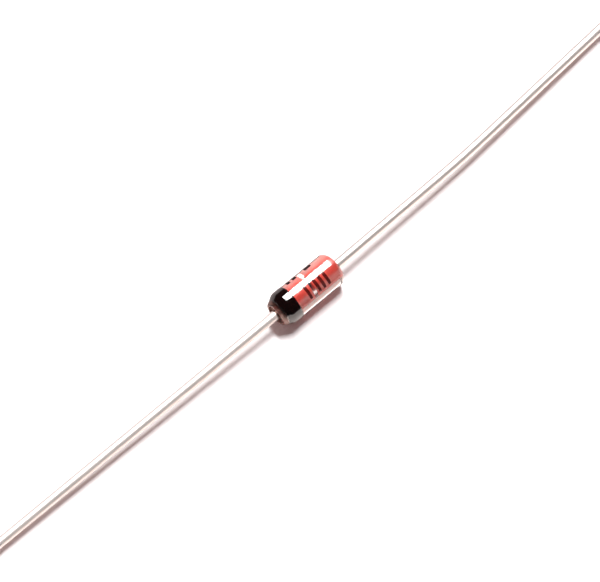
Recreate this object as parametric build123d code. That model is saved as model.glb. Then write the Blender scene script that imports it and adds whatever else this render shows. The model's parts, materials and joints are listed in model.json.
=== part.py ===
from build123d import *

import os
from math import radians, tan

# Small-signal axial diode: a glass sleeve melted on two red copper-clad plugs.
# Lengths are in millimetres. X runs along the sleeve, from the cathode end (-X) to the
# anode end (+X), and +Z is up. The diode lies on the plane z = 0 as it comes to rest,
# on its printed band and on the tips of its leads. The origin is on that plane, under
# the middle of the sleeve.

# glass sleeve
sleeve_length = 4.0
sleeve_diameter = 1.85
cathode_shoulder = 0.53        # length of the cone at the cathode end
cathode_cone = 27.3            # degrees between the cone and the sleeve's side
cone_blend = 0.50              # rounding between the side and the cone
nose_round = 0.08              # rounding between the cone and the flat end
anode_shoulder = 0.38          # length of the elliptical shoulder at the anode end
anode_shoulder_depth = 0.42    # how far that shoulder comes in from the sleeve's side
cathode_mouth_gap = 0.28       # from a lead's side to the glass lip round it
anode_mouth_gap = 0.15
mouth_taper = 0.06             # how much narrower each mouth is at the plug's face
lip_round = 0.04

# copper-clad plugs, which the glass is melted on
plug_diameter = 0.90
plug_edge = 0.04               # rounding of the edges that face the die
cathode_recess = 0.24          # from the sleeve's end to the plug's outer face
anode_recess = 0.10
seal_offset = 0.075            # from the sleeve's axis to the plugs' axis, along +Y

# silicon die, and the silver button plated on it
junction_x = 0.22              # middle of the gap between the plugs
die_side = 0.54
die_thickness = 0.11
die_turn = 62.0                # degrees about the plugs' axis
bump_diameter = 0.24
bump_height = 0.05
bump_edge = 0.015

# tinned wire leads
lead_diameter = 0.52
lead_reach = 31.0              # along X, from the sleeve's end to a lead's tip
lead_straight = 0.60           # stays in line with the sleeve this far past its end
lead_bend_radius = 8.0
cathode_yaw = 0.38             # degrees from the sleeve's line, towards +Y
anode_yaw = 1.24
kink_distance = 8.7            # along X, from the sleeve's end to the anode lead's kink
kink_yaw = 4.06
kink_radius = 60.0
weld_flare = 0.05              # how far the weld bead stands out from the wire
weld_length = 0.12
tip_edge = 0.04

# printed cathode band
band_start = 0.21              # from the sleeve's cathode end
band_width = 0.89
ink_thickness = 0.02

sleeve_radius = sleeve_diameter / 2
sleeve_end = sleeve_length / 2
plug_radius = plug_diameter / 2
lead_radius = lead_diameter / 2
cathode_mouth = lead_radius + cathode_mouth_gap
anode_mouth = lead_radius + anode_mouth_gap
axis_height = sleeve_radius + ink_thickness
cathode_face = -sleeve_end + cathode_recess
anode_face = sleeve_end - anode_recess
gap_start = junction_x - (die_thickness + bump_height) / 2
die_top = gap_start + die_thickness
gap_end = die_top + bump_height


def section(x, shape, offset=0.0):
    """A sketch set square to X, centred on the sleeve's axis or offset along Y."""
    return Plane(origin=(x, offset, axis_height), x_dir=(0, 1, 0), z_dir=(1, 0, 0)) * shape


def rod(radius, start, end, offset=0.0):
    return extrude(section(start, Circle(radius), offset), end - start)


def taper(start_radius, end_radius, start, end):
    """A short cone on the sleeve's axis."""
    return loft([section(start, Circle(start_radius)), section(end, Circle(end_radius))])


def sleeve_outside(grow=0.0):
    """The sleeve's outer form with no bore, grown by a coat of this thickness."""
    side = sleeve_radius + grow
    left_end = -sleeve_end - grow
    cone_start = -sleeve_end + cathode_shoulder - grow * tan(radians(cathode_cone / 2))
    nose = side - (cone_start - left_end) * tan(radians(cathode_cone))
    right = sleeve_end - anode_shoulder
    right_end = sleeve_end + grow
    depth = anode_shoulder_depth + grow
    lip = side - depth
    outline = [
        Polyline((left_end, 0), (left_end, nose), (cone_start, side), (right, side)),
        EllipticalCenterArc((right, lip), anode_shoulder + grow, depth, 0, arc_size=90),
        Polyline((right_end, lip), (right_end, 0), (left_end, 0)),
    ]
    half = make_face(outline)
    for corner, rounding in (((cone_start, side), cone_blend), ((left_end, nose), nose_round)):
        half = fillet(half.vertices().sort_by_distance(corner)[0], rounding + grow)
    return Pos(0, 0, axis_height) * revolve(Plane.XZ * half, Axis.X)


def glass_sleeve():
    sleeve = sleeve_outside() - rod(plug_radius, cathode_face, anode_face, seal_offset)
    sleeve -= taper(cathode_mouth, cathode_mouth - mouth_taper, -sleeve_end, cathode_face)
    sleeve -= taper(anode_mouth - mouth_taper, anode_mouth, anode_face, sleeve_end)
    for end_face in (sleeve.faces().sort_by(Axis.X)[0], sleeve.faces().sort_by(Axis.X)[-1]):
        circles = end_face.edges().sort_by(SortBy.RADIUS)
        rim = circles[-1].radius - circles[0].radius
        sleeve = fillet(circles[0], min(lip_round, 0.8 * rim))
    return sleeve


def cathode_band():
    """A coat of ink on the sleeve, cut to the band's width."""
    start = -sleeve_end + band_start
    slab = rod(sleeve_diameter, start, start + band_width)
    return (sleeve_outside(ink_thickness) & slab) - sleeve_outside()


def plug(outer_face, inner_face):
    """One plug, with the edge that faces the die rounded."""
    start, end = sorted((outer_face, inner_face))
    bar = rod(plug_radius, start, end, seal_offset)
    inner_edge = bar.edges().filter_by(GeomType.CIRCLE).sort_by(Axis.X)[0 if start == inner_face else -1]
    return fillet(inner_edge, plug_edge)


def silicon_die():
    square = Rot(0, 0, die_turn) * Rectangle(die_side, die_side)
    return extrude(section(gap_start, square, seal_offset), die_thickness)


def contact_bump():
    button = rod(bump_diameter / 2, die_top, gap_end, seal_offset)
    return fillet(button.edges().filter_by(GeomType.CIRCLE).sort_by(Axis.X)[-1], bump_edge)


def wire(route, radii):
    """Round wire along straight runs joined by tangent arcs."""
    path = FilletPolyline(*route, radius=radii)
    start = Plane(origin=path @ 0, z_dir=path % 0)
    return sweep(start * Circle(lead_radius), path)


def cathode_lead():
    bend_x = -sleeve_end - lead_straight
    tip_x = -sleeve_end - lead_reach
    tip_y = (bend_x - tip_x) * tan(radians(cathode_yaw))
    route = [
        (cathode_face, 0, axis_height),
        (bend_x, 0, axis_height),
        (tip_x, tip_y, lead_radius),
    ]
    lead = wire(route, lead_bend_radius)
    lead += taper(lead_radius, lead_radius + weld_flare, cathode_face - weld_length, cathode_face)
    return fillet(lead.edges().sort_by(Axis.X)[0], tip_edge)


def anode_lead():
    bend_x = sleeve_end + lead_straight
    kink_x = sleeve_end + kink_distance
    tip_x = sleeve_end + lead_reach
    fall = (axis_height - lead_radius) / (tip_x - bend_x)
    kink_y = (kink_x - bend_x) * tan(radians(anode_yaw))
    kink_z = axis_height - (kink_x - bend_x) * fall
    tip_y = kink_y + (tip_x - kink_x) * tan(radians(kink_yaw))
    route = [
        (anode_face, 0, axis_height),
        (bend_x, 0, axis_height),
        (kink_x, kink_y, kink_z),
        (tip_x, tip_y, lead_radius),
    ]
    lead = wire(route, [lead_bend_radius, kink_radius])
    lead += taper(lead_radius + weld_flare, lead_radius, anode_face, anode_face + weld_length)
    return fillet(lead.edges().sort_by(Axis.X)[-1], tip_edge)


parts = {
    "glass_sleeve": glass_sleeve(),
    "cathode_band": cathode_band(),
    "cathode_plug": plug(cathode_face, gap_start),
    "anode_plug": plug(anode_face, gap_end),
    "silicon_die": silicon_die(),
    "contact_bump": contact_bump(),
    "cathode_lead": cathode_lead(),
    "anode_lead": anode_lead(),
}

os.makedirs("parts", exist_ok=True)
for name, shape in parts.items():
    shape.label = name
    export_step(shape, f"parts/{name}.step")
    print(f"{name}: {len(shape.solids())} solid, {shape.volume:.3f} mm3")
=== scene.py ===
# A glass-sleeved axial diode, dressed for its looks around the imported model.
# Everything is in metres: X runs along the sleeve towards the anode lead, and Z is up.
import json

import bpy
import numpy as np
from mathutils import Matrix, Vector


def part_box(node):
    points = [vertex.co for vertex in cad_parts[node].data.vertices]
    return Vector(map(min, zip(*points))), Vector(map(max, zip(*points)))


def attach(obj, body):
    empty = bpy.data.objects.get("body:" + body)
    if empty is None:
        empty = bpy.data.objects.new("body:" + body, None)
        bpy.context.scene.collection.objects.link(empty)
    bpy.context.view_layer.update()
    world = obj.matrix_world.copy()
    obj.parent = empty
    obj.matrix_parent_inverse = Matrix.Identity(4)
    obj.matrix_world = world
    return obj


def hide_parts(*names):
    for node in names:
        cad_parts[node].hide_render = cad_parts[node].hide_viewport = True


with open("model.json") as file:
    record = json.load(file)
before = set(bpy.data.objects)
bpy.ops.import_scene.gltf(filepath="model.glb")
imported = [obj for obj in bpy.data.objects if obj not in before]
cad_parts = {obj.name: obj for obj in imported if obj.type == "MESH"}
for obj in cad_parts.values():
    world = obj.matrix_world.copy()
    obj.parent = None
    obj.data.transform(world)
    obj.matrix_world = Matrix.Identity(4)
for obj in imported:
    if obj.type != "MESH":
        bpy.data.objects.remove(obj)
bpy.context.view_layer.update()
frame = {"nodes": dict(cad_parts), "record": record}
mm = 0.001


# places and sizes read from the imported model

def span(node):
    low, high = (np.array(corner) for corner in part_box(node))
    return low, high


def mountOf(name):
    return next(m for m in frame["record"]["mounts"] if m["name"] == name)


sleeveLow, sleeveHigh = span("glass_sleeve")
bandLow, bandHigh = span("cathode_band")
cathodeLow, cathodeHigh = span("cathode_plug")
anodeLow, anodeHigh = span("anode_plug")
sleeveRadius = (sleeveHigh[2] - sleeveLow[2]) / 2
axisHeight = (sleeveHigh[2] + sleeveLow[2]) / 2
plugRadius = (anodeHigh[2] - anodeLow[2]) / 2
plugOffset = (anodeHigh[1] + anodeLow[1]) / 2
leadRadius = mountOf("anode_lead_wire")["dims"]["r_mm"] * mm
bodyMiddle = Vector((0, 0, axisHeight))


# shader sockets that take Python operators

class Socket:
    def __init__(self, tree, link):
        self.tree, self.link = tree, link

    def maths(self, operation, *others, first=None):
        node = self.tree.nodes.new("ShaderNodeMath")
        node.operation = operation
        for slot, value in zip(node.inputs, (first if first is not None else self, *others)):
            feed(self.tree, slot, value)
        return Socket(self.tree, node.outputs[0])

    def __add__(self, other):
        return self.maths("ADD", other)

    def __sub__(self, other):
        return self.maths("SUBTRACT", other)

    def __mul__(self, other):
        return self.maths("MULTIPLY", other)

    def __truediv__(self, other):
        return self.maths("DIVIDE", other)

    def __rsub__(self, other):
        return self.maths("SUBTRACT", self, first=other)

    def __neg__(self):
        return self.maths("MULTIPLY", -1.0)

    __radd__, __rmul__ = __add__, __mul__

    def larger(self, other):
        return self.maths("MAXIMUM", other)

    def clamped(self):
        return self.maths("MINIMUM", 1.0).larger(0.0)


def feed(tree, slot, value):
    if isinstance(value, Socket):
        tree.links.new(value.link, slot)
    elif value is not None:
        slot.default_value = value


class NodeTree:
    # short ways to add nodes to a material's or the world's tree
    def __init__(self, tree):
        self.tree = tree

    def node(self, kind, settings=None, inputs=None, output=0):
        made = self.tree.nodes.new(kind)
        for key, value in (settings or {}).items():
            if key == "stops":
                ramp = made.color_ramp
                while len(ramp.elements) < len(value):
                    ramp.elements.new(0.5)
                for element, (place, colour) in zip(ramp.elements, value):
                    element.position, element.color = place, (*colour, 1)
            else:
                setattr(made, key, value)
        for key, value in (inputs or {}).items():
            feed(self.tree, made.inputs[key], value)
        return Socket(self.tree, made.outputs[output])

    def seen(self):
        # What is shown, and its parts shown by a mirror and through the glass: 1 there, and 0
        # for light that a surface scatters
        path = self.node("ShaderNodeLightPath").link.node
        camera, glossy, through, scattered = (Socket(self.tree, path.outputs[name]) for name in (
            "Is Camera Ray", "Is Glossy Ray", "Is Transmission Ray", "Diffuse Depth"))
        shown = camera.larger(glossy).larger(through)
        direct = 1 - scattered.clamped()
        return shown * direct, glossy * direct, through * direct


class Finish(NodeTree):
    # a material with a Principled shader
    def __init__(self, name):
        self.material = bpy.data.materials.new(name)
        self.material.use_nodes = True
        super().__init__(self.material.node_tree)
        self.shader = self.tree.nodes["Principled BSDF"]

    def place(self, stretch=(1, 1, 1)):
        # object coordinates counted in millimetres, then stretched
        coords = self.node("ShaderNodeTexCoord", output="Object")
        scale = tuple(s / mm for s in stretch)
        return self.node("ShaderNodeMapping", {"vector_type": "POINT"},
                         {"Vector": coords, "Scale": scale})

    def along(self, axis):
        # the place along one axis, in millimetres
        return self.node("ShaderNodeSeparateXYZ", None, {"Vector": self.place()}, output=axis)

    def noise(self, scale, detail=3.0, roughness=0.5, stretch=(1, 1, 1)):
        return self.node("ShaderNodeTexNoise", None,
                         {"Vector": self.place(stretch), "Scale": scale, "Detail": detail,
                          "Roughness": roughness})

    def mix(self, share, first, second):
        # sockets 6 and 7 and output 2 of a Mix node are the ones for colours
        first, second = ((*value, 1) if isinstance(value, tuple) else value
                         for value in (first, second))
        return self.node("ShaderNodeMix", {"data_type": "RGBA"},
                         {0: share, 6: first, 7: second}, output=2)

    def ramp(self, value, *stops):
        return self.node("ShaderNodeValToRGB", {"stops": stops}, {"Fac": value})

    def bump(self, height, distance, strength):
        return self.node("ShaderNodeBump", None,
                         {"Height": height, "Distance": distance, "Strength": strength})

    def set(self, **values):
        for key, value in values.items():
            name = key.replace("_", " ")
            value = (*value, 1) if isinstance(value, tuple) else value
            feed(self.tree, self.shader.inputs[name], value)
        return self


# meshes from rings

def meshFrom(name, points, quads, triangles=None):
    faces = quads.tolist() + ([] if triangles is None else triangles.tolist())
    mesh = bpy.data.meshes.new(name)
    mesh.from_pydata(points.tolist(), [], faces)
    mesh.shade_smooth()
    mesh.validate()
    piece = bpy.data.objects.new(name, mesh)
    bpy.context.scene.collection.objects.link(piece)
    return piece


def gridQuads(rows, columns, wrapRows):
    # quads of a grid that closes across its columns, and across its rows where asked
    i = np.arange(rows if wrapRows else rows - 1)[:, None]
    j = np.arange(columns)[None, :]
    k, l = (i + 1) % rows, (j + 1) % columns
    corners = (i * columns + j, i * columns + l, k * columns + l, k * columns + j)
    return np.stack(corners, axis=-1).reshape(-1, 4)


def capFans(rows, columns):
    # triangles from a grid's first and last row to the two poles that follow it
    j = np.arange(columns)
    k = (j + 1) % columns
    lastRow, firstPole = (rows - 1) * columns, np.full(columns, rows * columns)
    return np.vstack((np.stack((k, j, firstPole), axis=-1),
                      np.stack((lastRow + j, lastRow + k, firstPole + 1), axis=-1)))


def ringSkin(name, centres, radii, segments, loop=False, tangents=None):
    # Every ring is a circle about its centre, square to the tangent: centre + radius times
    # (cosine of the angle times one side vector + sine times the other). An open skin is
    # closed by a fan to the first and the last centre.
    centres, radii = np.asarray(centres, float), np.asarray(radii, float)
    if tangents is None:
        tangents = np.tile((1.0, 0.0, 0.0), (len(centres), 1))
    tangents = tangents / np.linalg.norm(tangents, axis=1, keepdims=True)
    sideways = np.cross((0.0, 0.0, 1.0), tangents)
    sideways /= np.linalg.norm(sideways, axis=1, keepdims=True)
    upward = np.cross(tangents, sideways)
    angle = np.linspace(0, 2 * np.pi, segments, endpoint=False)[None, :, None]
    points = centres[:, None] + radii[:, None, None] * (
        np.cos(angle) * sideways[:, None] + np.sin(angle) * upward[:, None])
    points = points.reshape(-1, 3)
    quads = gridQuads(len(centres), segments, loop)
    if loop:
        return meshFrom(name, points, quads)
    points = np.vstack((points, centres[0], centres[-1]))
    return meshFrom(name, points, quads, capFans(len(centres), segments))


def dress(piece, finish, slot, *replaced):
    piece.data.materials.clear()
    piece.data.materials.append(finish.material)
    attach(piece, "root")
    if replaced:
        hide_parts(*replaced)
    return piece


# the glass sleeve

sleeve = {
    "cathodeShoulder": 0.53 * mm,   # length of the cone at the cathode end
    "cathodeCone": 27.3,            # degrees between the cone and the sleeve's side
    "coneBlend": 0.50 * mm,
    "blendReach": 0.14 * mm,        # rings are close together this near to the blend
    "noseRound": 0.08 * mm,
    "anodeShoulder": 0.38 * mm,     # the anode end's elliptical shoulder
    "anodeShoulderDepth": 0.42 * mm,
    "cathodeMouthGap": 0.28 * mm,   # from a lead's side to the lip
    "anodeMouthGap": 0.15 * mm,
    "mouthTaper": 0.06 * mm,
    "lipRound": 0.04 * mm,
    "sink": 0.008 * mm,             # how far the glass and the ink reach into what they wet
    "segments": 160,
    "refraction": 1.62,
    "tint": (0.97, 0.975, 0.965),
    "glassShade": (0.23, 0.12, 0.095),   # painted shade of the cathode mouth: a brown laid on the glass's cathode end, past the band
    "glassShadePast": -1.68,             # millimetres along X
    "glassShadeRise": 8,                 # per millimetre
    "glassShadeMetal": 0.3,
    "glassShadeRough": 0.28,
}


def eased(run, width):
    # 0 before -width, run past +width, and between them the parabola (run + width)^2 / 4 width
    return np.where(run < width, np.clip(run + width, 0, None) ** 2 / (4 * width), run)


def sleeveOutline(x):
    # Radius at x: the full radius along the side, and less by the eased run into the cathode
    # cone times the tangent of the cone's angle.
    angle = np.radians(sleeve["cathodeCone"])
    blend = 0.95 * sleeve["coneBlend"] * np.tan(angle / 2)
    run = sleeveLow[0] + sleeve["cathodeShoulder"] - x
    return sleeveRadius - np.tan(angle) * eased(run, blend)


def roundCorner(middle, radius, first, last, count):
    # An arc from one angle to another, in degrees up from the left
    turn = np.radians(np.linspace(first, last, count))
    return middle[0] - radius * np.cos(turn), middle[1] + radius * np.sin(turn)


def glassSleeve():
    # One closed loop of rings: the outside from lip to lip, then the anode mouth, the bore
    # on the plugs' own axis, and the cathode mouth.
    cone, nose = np.radians(sleeve["cathodeCone"]), sleeve["noseRound"]
    left, right = sleeveLow[0], sleeveHigh[0]
    noseMiddle = left + nose
    noseCentre = (noseMiddle, sleeveOutline(noseMiddle) - nose / np.cos(cone))
    noseX, noseR = roundCorner(noseCentre, nose, 0, 90 - sleeve["cathodeCone"], 12)
    shoulder = right - sleeve["anodeShoulder"]
    coneStart, reach = left + sleeve["cathodeShoulder"], sleeve["blendReach"]
    sideX = np.concatenate((np.linspace(noseX[-1], coneStart - reach, 8)[1:],
                            np.linspace(coneStart - reach, coneStart + reach, 24)[1:],
                            np.linspace(coneStart + reach, shoulder, 20)[1:-1]))
    turn = np.linspace(0, np.pi / 2, 40)
    shoulderX = shoulder + sleeve["anodeShoulder"] * np.sin(turn)
    shoulderR = sleeveRadius - sleeve["anodeShoulderDepth"] * (1 - np.cos(turn))
    lip, taper, sink = sleeve["lipRound"], sleeve["mouthTaper"], sleeve["sink"]
    cathodeMouth, anodeMouth = (leadRadius + sleeve[gap]
                                for gap in ("cathodeMouthGap", "anodeMouthGap"))
    bore, boreRings = plugRadius - sink, 22
    anodeSeat, cathodeSeat = anodeHigh[0] - sink, cathodeLow[0] + sink
    cathodeLipX, cathodeLipR = roundCorner((left + lip, cathodeMouth + lip), lip, -90, 0, 10)
    anodeLipX, anodeLipR = roundCorner((right - lip, anodeMouth + lip), lip, 180, 270, 10)
    x = np.concatenate((noseX, sideX, shoulderX, anodeLipX, [anodeSeat, anodeSeat],
                        np.linspace(anodeSeat, cathodeSeat, boreRings + 2)[1:-1],
                        [cathodeSeat, cathodeSeat], cathodeLipX))
    r = np.concatenate((noseR, sleeveOutline(sideX), shoulderR, anodeLipR,
                        [anodeMouth - taper, bore], np.full(boreRings, bore),
                        [bore, cathodeMouth - taper], cathodeLipR))
    offAxis = np.isclose(r, bore) & (x <= anodeSeat) & (x >= cathodeSeat)
    centres = np.stack((x, np.where(offAxis, plugOffset, 0), np.full(len(x), axisHeight)), axis=-1)
    return ringSkin("glassSleeve", centres, r, sleeve["segments"], loop=True)


def clearGlass():
    finish = Finish("clearGlass")
    ripple = finish.noise(0.9, 2.0, 0.4, (0.5, 1, 1))
    # painted shade: towards the cathode end the glass turns brown, a little metallic and rough,
    # standing in for the shade in its mouth
    shadedGlass = ((sleeve["glassShadePast"] - finish.along("X")) * sleeve["glassShadeRise"]).clamped()
    return finish.set(Base_Color=finish.mix(shadedGlass, sleeve["tint"], sleeve["glassShade"]),
                      Metallic=sleeve["glassShadeMetal"] * shadedGlass,
                      Roughness=sleeve["glassShadeRough"] * shadedGlass,
                      IOR=sleeve["refraction"], Transmission_Weight=1.0,
                      Normal=finish.bump(ripple, 0.004 * mm, 0.6))


sleevePiece = dress(glassSleeve(), clearGlass(), "clear_glass", "glass_sleeve")
sleevePiece.visible_diffuse = False    # scattered light passes the glass by
print("glass sleeve made")

# the red plugs

plugs = {
    "edge": 0.04 * mm,
    "segments": 128,
    "red": (0.96, 0.062, 0.034),
    "deepRed": (0.82, 0.038, 0.022),
    "copper": (0.80, 0.30, 0.18),
    "recessShade": (0.10, 0.022, 0.014),  # painted shade: the plugs turn dark red-brown towards the sleeve's ends, in the mouths and under the band
    "recessShadeCathode": -0.98,          # millimetres along X, past which the plugs are painted dark
    "recessShadeAnode": 1.72,
    "recessShadeRises": (6, 4),           # per millimetre, at the cathode and at the anode
    "refraction": 2.4,              # the oxide's own, which makes it shine
    "sheen": 0.35,
    "sheenTint": (1.0, 0.62, 0.52),
}


def plugPiece(name, outerX, innerX):
    # A bar with a quarter-round edge at the face towards the die, closed at both faces.
    sign = 1 if innerX > outerX else -1
    edge, sideRings = plugs["edge"], 20
    arc = np.linspace(0, np.pi / 2, 8)
    edgeStart = abs(innerX - outerX) - edge
    along = np.concatenate(([0, 0], np.linspace(0, edgeStart, sideRings)[1:],
                            (edgeStart + edge * np.sin(arc))[1:]))
    radii = np.concatenate(([plugRadius * 0.5, plugRadius], np.full(sideRings - 1, plugRadius),
                            (plugRadius - edge + edge * np.cos(arc))[1:]))
    x = outerX + sign * along
    if sign < 0:
        x, radii = x[::-1], radii[::-1]
    centres = np.stack((x, np.full(len(x), plugOffset), np.full(len(x), axisHeight)), axis=-1)
    return ringSkin(name, centres, radii, plugs["segments"])


def redOxide():
    finish = Finish("redOxide")
    cloud = finish.noise(3.5, 4.0, 0.6, (0.6, 1, 1))
    drawn = finish.noise(9.0, 3.0, 0.6, (0.12, 1, 1))
    colour = finish.ramp(cloud, (0.36, plugs["deepRed"]), (0.56, plugs["red"]))
    colour = finish.mix(((drawn - 0.62) * 2.2).clamped(), colour, plugs["copper"])
    x = finish.along("X")
    # painted shade in the mouths and under the band: dark past a place at the cathode and, in
    # cloudy patches, past one at the anode
    cathodeRise, anodeRise = plugs["recessShadeRises"]
    recessShade = (((plugs["recessShadeCathode"] - x) * cathodeRise).clamped()
             + ((x - plugs["recessShadeAnode"]) * anodeRise * cloud).clamped())
    colour = finish.mix(recessShade, colour, plugs["recessShade"])
    return finish.set(Base_Color=colour, IOR=plugs["refraction"], Roughness=0.28 + 0.18 * cloud,
                      Sheen_Weight=plugs["sheen"], Sheen_Roughness=0.5,
                      Sheen_Tint=plugs["sheenTint"], Normal=finish.bump(drawn, 0.006 * mm, 0.5))


redFinish = redOxide()
dress(plugPiece("cathodePlug", cathodeLow[0], cathodeHigh[0]), redFinish,
      "red_copper_oxide", "cathode_plug")
dress(plugPiece("anodePlug", anodeHigh[0], anodeLow[0]), redFinish,
      "red_copper_oxide", "anode_plug")
print("plugs made")

# the die and its silver button

die = {"dark": (0.05, 0.05, 0.06), "pale": (0.16, 0.16, 0.19)}
button = {"silver": (0.84, 0.83, 0.80)}


def siliconDie():
    finish = Finish("siliconDie")
    speck = finish.noise(14.0, 2.0)
    return finish.set(Base_Color=finish.ramp(speck, (0.3, die["dark"]), (0.8, die["pale"])),
                      Metallic=0.4, Roughness=0.25 + 0.2 * speck)


def silverButton():
    finish = Finish("silverButton")
    grain = finish.noise(20.0, 3.0)
    return finish.set(Base_Color=button["silver"], Metallic=1.0, Roughness=0.25 + 0.25 * grain,
                      Normal=finish.bump(grain, 0.004 * mm, 0.5))


for nodeName, finish in (("silicon_die", siliconDie()), ("contact_bump", silverButton())):
    held = frame["nodes"][nodeName]
    held.data.materials.clear()
    held.data.materials.append(finish.material)
print("die and button finished")

# the printed band and marks

ink = {
    "refraction": 1.55,
    "coat": 0.6,
    "underside": ((0.70, 0.60, 0.56), (0.55, 0.45, 0.42)),
}
bandPrint = {
    "thickness": bandHigh[2] - sleeveHigh[2],
    "edgeWander": 0.018 * mm,       # how far the band's edges wander
    "crest": 0.85,                  # where the film is thickest, from -1 at its left edge to 1
    "swellFrom": 1.714,             # radians from +Y, about which the film begins to swell
    "swellRate": 6.7,
    "swellLevel": 0.68,
    "swellRange": (0.6, 3.2),
    "tones": ((0.002, 0.0003, 0.0003), (0.016, 0.0015, 0.0015)),
    "gloss": 1.0,
    "cover": 1.0,
}
bars = {
    "facing": 119.0,                # degrees from +Y, going up over the top
    "height": 0.76 * mm,            # along the sleeve's girth
    "widths": (0.17, 0.17, 0.17, 0.17),    # millimetres along X
    "places": (-0.19, 0.40, 0.71, 1.02),
    "tones": ((0.04, 0.002, 0.002), (0.18, 0.007, 0.006)),
    "gloss": 0.6,
    "cover": 0.68,                  # of each side of a mark, which lets a little red through
}
dashes = {
    "facing": 42.0,
    "height": 0.30 * mm,
    "widths": (0.22, 0.26, 0.44),
    "places": (-0.56, -0.17, 0.71),
    "tones": ((0.006, 0.0006, 0.0006), (0.05, 0.003, 0.003)),
    "gloss": 0.12,
    "cover": 1.0,
}


def inkBand():
    # A closed film: over each angle it runs out over the sleeve and back just under its
    # skin. Height above the glass = thickness times (1 - the way from the crest to the film's
    # edge, to a power). The power is 2 to the clipped level + rate times (swellFrom - the
    # angle from +Y), so the film swells towards the crest in front and is level behind.
    segments, across = 240, 28
    angle = np.linspace(0, 2 * np.pi, segments, endpoint=False)
    out = np.linspace(-1, 1, across)
    place = np.concatenate((out, out[::-1][1:-1]))
    crest, wander = bandPrint["crest"], bandPrint["edgeWander"]
    way = np.abs(out - crest) / (1 - crest * np.sign(out - crest))
    turned = np.minimum(angle, 2 * np.pi - angle)
    power = 2 ** np.clip(
        bandPrint["swellLevel"] + bandPrint["swellRate"] * (bandPrint["swellFrom"] - turned),
        *bandPrint["swellRange"])
    dome = (1 - way[:, None] ** power) * bandPrint["thickness"] - 0.2 * sleeve["sink"]
    lift = np.vstack((dome, np.full((across - 2, segments), -sleeve["sink"])))
    leftWave = 1 + 0.5 * np.sin(3 * angle + 0.6) + 0.5 * np.sin(11 * angle)
    rightWave = 1 + 0.5 * np.sin(2 * angle + 2) + 0.5 * np.sin(9 * angle + 1)
    leftEdge, rightEdge = bandLow[0] + wander * leftWave, bandHigh[0] - wander * rightWave
    middle, half = (leftEdge + rightEdge) / 2, (rightEdge - leftEdge) / 2
    x = middle[None, :] + half[None, :] * place[:, None]
    r = sleeveOutline(x) + lift
    points = np.stack((x, r * np.cos(angle), axisHeight + r * np.sin(angle)), axis=-1)
    quads = gridQuads(len(place), segments, True)
    band = meshFrom("inkBand", points.reshape(-1, 3), quads)
    under = np.repeat(np.arange(len(place)) >= across, segments).astype(np.int32)
    return band, under


def inkMark(name, middleX, halfX, facing, halfTurn):
    # A closed pillow wrapped on the sleeve. In two angles a and b, the place is the middle +
    # half size times the powers 0.35 of sine b and of cosine a along X or sine a round the
    # girth, and the height goes with the power 0.4 of cosine b.
    def soft(value, power):
        return np.sign(value) * np.abs(value) ** power
    a = np.linspace(0, 2 * np.pi, 48, endpoint=False)[None, :]
    b = np.linspace(0.02, np.pi - 0.02, 25)[:, None]
    reach = soft(np.sin(b), 0.35)
    x = middleX + halfX * reach * soft(np.cos(a), 0.35)
    angle = np.radians(facing) + halfTurn * reach * soft(np.sin(a), 0.35)
    thick = np.where(b < np.pi / 2, 0.2 * bandPrint["thickness"], sleeve["sink"])
    r = sleeveOutline(x) + thick * soft(np.cos(b), 0.4)
    points = np.stack((x, r * np.cos(angle), axisHeight + r * np.sin(angle)), axis=-1)
    rows, columns = points.shape[:2]
    poles = points[[0, -1]].mean(axis=1)
    return meshFrom(name, np.vstack((points.reshape(-1, 3), poles)),
                    gridQuads(rows, columns, False), capFans(rows, columns))


def printedInk(name, film):
    finish = Finish(name)
    grain = finish.noise(16.0, 4.0, 0.6)
    tone = finish.mix(((grain - 0.35) * 1.6).clamped(), *film["tones"])
    return finish.set(Base_Color=tone, IOR=ink["refraction"], Roughness=0.04 + 0.10 * grain,
                      Specular_IOR_Level=0.5 * film["gloss"], Coat_IOR=1.5,
                      Coat_Weight=ink["coat"] * film["gloss"], Coat_Roughness=0.03,
                      Alpha=film["cover"], Normal=finish.bump(grain, 0.004 * mm, 0.5))


def wettedInk():
    # the film's underside, seen through the glass that it wets
    finish = Finish("wettedInk")
    cloud = finish.noise(5.0, 3.0)
    return finish.set(Base_Color=finish.mix(cloud, *ink["underside"]), Roughness=0.4 + 0.2 * cloud)


band, under = inkBand()
dress(band, printedInk("blackInk", bandPrint), "black_ink", "cathode_band")
band.data.materials.append(wettedInk().material)
band.data.polygons.foreach_set("material_index", under)
for row, marks, finishName in (("bar", bars, "thinInk"), ("dash", dashes, "dryInk")):
    markFinish = printedInk(finishName, marks)
    for number, (place, width) in enumerate(zip(marks["places"], marks["widths"])):
        mark = inkMark(f"{row}Mark{number + 1}", place * mm, width * mm / 2, marks["facing"],
                       marks["height"] / 2 / sleeveRadius)
        dress(mark, markFinish, "black_ink")
print("band and marks made")

# the tinned leads

leads = {
    "bendAt": 2.6 * mm,             # from the sleeve's middle to each lead's first bend
    "bendWidth": 0.25 * mm,         # half the stretch over which it bends
    "kinkAt": 10.7 * mm,            # the anode lead's second, gentle bend
    "kinkWidth": 1.6 * mm,
    "beadFlare": 0.05 * mm,         # the weld bead at the plug
    "beadLength": 0.12 * mm,
    "tipEdge": 0.04 * mm,
    "rings": 420,
    "segments": 64,
    "bright": (0.95, 0.85, 0.81),
    "dull": (0.85, 0.74, 0.70),
    # painted light and shade: the same tin, with less shine on the cathode lead so that it renders
    # lighter, and more on the anode lead so that it renders darker
    "cathodeShine": 0.48,
    "anodeShine": 0.64,
    # painted shade of the mouths: the leads' roots are dark up to a little past the glass
    "rootShade": (0.10, 0.05, 0.038),
    "rootShadeEnd": 2.07,               # millimetres from the sleeve's middle
    "rootShadeEndMore": 0.06,           # and how much further the anode lead's goes
    "rootShadeRise": 14,                # per millimetre
}


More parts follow.
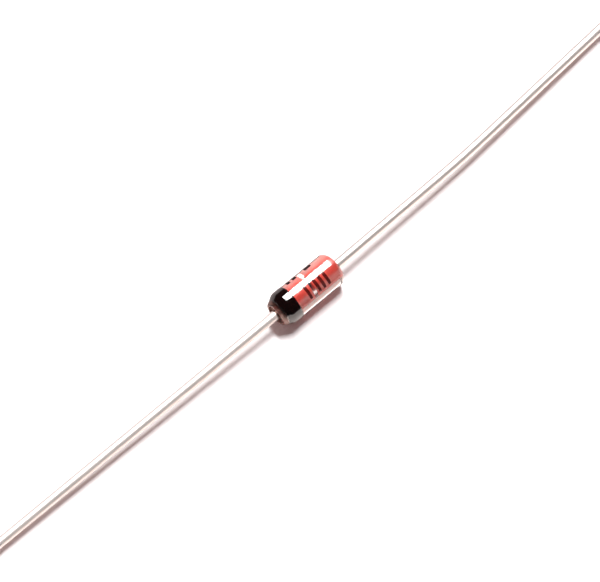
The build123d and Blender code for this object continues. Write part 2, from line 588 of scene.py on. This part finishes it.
def leadPiece(name, node, sign, faceX, mount, kinkAt=None):
    # Rings along the wire. It runs straight out, and past each bend it goes sideways and down
    # by the eased run times the slope. The bead flares by (1 - way along it) to the power 1.6,
    # and the tip's edge is a quarter round.
    pos, axis = np.array(mount["pos_m"]), np.array(mount["axis"])
    sideSlope, fall = axis[1:] / abs(axis[0])
    low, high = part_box(node)
    tipX, face = abs(low[0] if sign < 0 else high[0]), abs(faceX)
    bend, bendWidth = leads["bendAt"], leads["bendWidth"]
    edge, beadLength, rings = leads["tipEdge"], leads["beadLength"], leads["rings"]
    arc = np.linspace(0, np.pi / 2, 8)
    bead = np.linspace(0, 1, 10)
    along = np.concatenate((face + beadLength * bead,
                            np.linspace(face + beadLength, tipX - edge, rings)[1:-1],
                            tipX - edge + edge * np.sin(arc)))
    radii = np.concatenate((leadRadius + leads["beadFlare"] * (1 - bead) ** 1.6,
                            np.full(rings - 2, leadRadius), leadRadius - edge + edge * np.cos(arc)))
    if kinkAt is None:
        sideways = sideSlope * eased(along - bend, bendWidth)
    else:
        kinkY = pos[1] + sideSlope * (kinkAt - abs(pos[0]))
        early = kinkY / (kinkAt - bend)
        sideways = (early * eased(along - bend, bendWidth)
                    + (sideSlope - early) * eased(along - kinkAt, leads["kinkWidth"]))
    height = axisHeight + fall * eased(along - bend, bendWidth)
    centres = np.stack((sign * along, sideways, height), axis=-1)
    if sign < 0:
        centres, radii = centres[::-1], radii[::-1]
    tangents = np.gradient(centres, axis=0)
    tangents[:12], tangents[-12:] = tangents[12], tangents[-13]    # both ends are straight
    return ringSkin(name, centres, radii, leads["segments"], tangents=tangents)


def tinnedWire(name, shine):
    finish = Finish(name)
    drawn = finish.noise(7.0, 4.0, 0.6, (0.06, 1, 1))
    patch = finish.noise(0.8, 3.0, 0.5, (0.5, 1, 1))
    tone = finish.mix(patch, leads["bright"], leads["dull"])
    # the roots in the glass are painted dark, as shade in the mouths
    x = finish.along("X")
    inside = leads["rootShadeEnd"] - (-x).larger(x - leads["rootShadeEndMore"])
    root = (inside * leads["rootShadeRise"]).clamped()
    tone = finish.mix(root, tone, leads["rootShade"])
    return finish.set(Base_Color=tone, Metallic=shine, Roughness=0.32 + 0.16 * patch,
                      Normal=finish.bump(drawn, 0.010 * mm, 0.35))


dress(leadPiece("cathodeLead", "cathode_lead", -1, cathodeLow[0], mountOf("cathode_lead_wire")),
      tinnedWire("cathodeTinLighter", leads["cathodeShine"]), "tinned_wire", "cathode_lead")
dress(leadPiece("anodeLead", "anode_lead", 1, anodeHigh[0], mountOf("anode_lead_wire"),
                leads["kinkAt"]),
      tinnedWire("anodeTinDarker", leads["anodeShine"]), "tinned_wire", "anode_lead")
print("leads made")

# the floor, the room's walls, the lamps and the camera

ground = {
    "size": 4.0,
    "white": (0.90, 0.90, 0.90),
    "bounce": (0.56, 0.54, 0.53),         # for light sent back up, which keeps it plain
    "mirrorFront": (0.98, 0.91, 0.86),    # in a mirror, before the body and behind it: painted light before it and painted shade behind it
    "mirrorBack": (0.32, 0.30, 0.30),
    "throughFront": (0.45, 0.42, 0.40),   # through the glass, before the body and behind it: painted shade before it and painted light behind it
    "throughBack": (0.95, 0.94, 0.92),
    "paintedGlow": (0.09, 0.02, 0.018),          # painted light: a faint red glow over the floor, which shows in its shadow, for red light thrown by the plugs
    # painted light: the floor behind the body glows, seen through the glass, for light that the
    # glass focuses
    "paintedThroughGlow": (0.90, 0.80, 0.72),
}
room = {
    "ambient": 0.14,                # an even glow, for scattered light
    "ceiling": 0.03,                # brightness overhead, where the room is dim
    "wallTop": 0.07,                # the white walls end at this height on the unit sphere
    "wallFade": 0.07,
    "backWall": 0.1,                # brightness of the wall on the lamp's side
}
softLamp = {
    "along": 0.31,                  # the lamp's place along X, as a unit vector
    "lean": 23.8,                   # degrees from upright, towards +Y
    "size": (0.14, 0.66),
    "power": 14.0,
}
floorLamp = {"along": 0.32, "lean": 19.0, "size": (0.12, 0.63), "power": 23.5}
lampDistance = 1.0
view = {
    "azimuth": -41.85,              # degrees
    "elevation": 67.0,
    "lens": 900.0,
    "sensor": 36.0,
    "frameWidth": 30.0 * mm,
    "aside": 0.267 * mm,            # how far right of the picture's middle the body lies
    "above": 0.027 * mm,            # and how far above it
}


def floorPlane():
    # a flat square
    half = ground["size"] / 2
    points = np.array(((-half, -half, 0), (half, -half, 0), (half, half, 0), (-half, half, 0)))
    floor = meshFrom("floor", points, np.array(((0, 1, 2, 3),)))
    finish = Finish("paleFloor")
    seen, mirrored, through = finish.seen()
    # behind goes from 0 at the body's middle to 1 a millimetre behind it, and paints light and
    # shade on the floor as seen in mirrors and through the glass
    behind = finish.along("Y").clamped()
    colour = finish.mix(seen, ground["bounce"], ground["white"])
    colour = finish.mix(mirrored, colour,
                        finish.mix(behind, ground["mirrorFront"], ground["mirrorBack"]))
    colour = finish.mix(through, colour,
                        finish.mix(behind, ground["throughFront"], ground["throughBack"]))
    # painted light: the floor glows faint red for the camera, and brighter behind the body through
    # the glass
    paintedGlow = finish.mix(through * behind, ground["paintedGlow"], ground["paintedThroughGlow"])
    finish.set(Base_Color=colour, Roughness=0.9, Specular_IOR_Level=0.0, Emission_Color=paintedGlow,
               Emission_Strength=seen)
    floor.data.materials.append(finish.material)
    return floor


def walls():
    # White walls round the horizon under a dim ceiling, darker on the lamp's side except
    # through the glass. Scattered light gets an even glow instead.
    world = bpy.data.worlds.new("studio")
    bpy.context.scene.world = world
    world.use_nodes = True
    sky = NodeTree(world.node_tree)
    direction = sky.node("ShaderNodeTexCoord", output="Generated")
    depth, height = (sky.node("ShaderNodeSeparateXYZ", None, {"Vector": direction}, output=axis)
                     for axis in ("Y", "Z"))
    seen, _, through = sky.seen()
    front = (0.5 - 4 * depth).clamped().larger(through)
    wall = ((room["wallTop"] - height) / room["wallFade"]).clamped()
    wall = wall * (room["backWall"] + (1 - room["backWall"]) * front)
    shown = room["ceiling"] + (1 - room["ceiling"]) * wall
    background = sky.tree.nodes["Background"]
    background.inputs["Color"].default_value = (1, 1, 1, 1)
    feed(sky.tree, background.inputs["Strength"], room["ambient"] * (1 - seen) + shown * seen)


def lamp(name, settings, lit, passes=None):
    # A rectangle with its short side along X, facing the body. Lit objects alone take its
    # light, and what it passes casts no shadow.
    data = bpy.data.lights.new(name, "AREA")
    data.shape, data.energy = "RECTANGLE", settings["power"]
    data.size, data.size_y = settings["size"]
    made = bpy.data.objects.new(name, data)
    bpy.context.scene.collection.objects.link(made)
    along, lean = settings["along"], np.radians(settings["lean"])
    across = np.sqrt(1 - along**2)
    back = Vector((along, across * np.sin(lean), across * np.cos(lean)))
    right = (Vector((1, 0, 0)) - along * back).normalized()
    made.matrix_world = Matrix.Translation(bodyMiddle + back * lampDistance) @ Matrix(
        (right, back.cross(right), back)).transposed().to_4x4()
    taken = bpy.data.collections.new(name + "Lights")
    for item in lit:
        taken.objects.link(item)
    made.light_linking.receiver_collection = taken
    made.visible_transmission = False
    if passes:
        clear = bpy.data.collections.new(name + "Passes")
        clear.objects.link(passes)
        clear.collection_objects[0].light_linking.link_state = "EXCLUDE"
        made.light_linking.blocker_collection = clear


def camera():
    data = bpy.data.cameras.new("camera")
    data.lens, data.sensor_width = view["lens"], view["sensor"]
    data.clip_start, data.clip_end = 0.01, 20.0
    made = bpy.data.objects.new("camera", data)
    bpy.context.scene.collection.objects.link(made)
    a, e = np.radians((view["azimuth"], view["elevation"]))
    back = Vector((np.sin(a) * np.cos(e), -np.cos(a) * np.cos(e), np.sin(e)))
    right = Vector((np.cos(a), np.sin(a), 0))
    up = back.cross(right)
    distance = view["frameWidth"] * view["lens"] / view["sensor"]
    made.location = bodyMiddle - right * view["aside"] - up * view["above"] + back * distance
    made.rotation_mode = "QUATERNION"
    made.rotation_quaternion = back.to_track_quat("Z", "Y")
    bpy.context.scene.camera = made


floor = floorPlane()
walls()
pieces = [item for item in bpy.context.scene.objects if item.type == "MESH" and item != floor]
lamp("softLamp", softLamp, pieces, sleevePiece)
lamp("floorLamp", floorLamp, [floor])
camera()
bpy.context.scene.view_settings.view_transform = "Standard"
print("studio set")
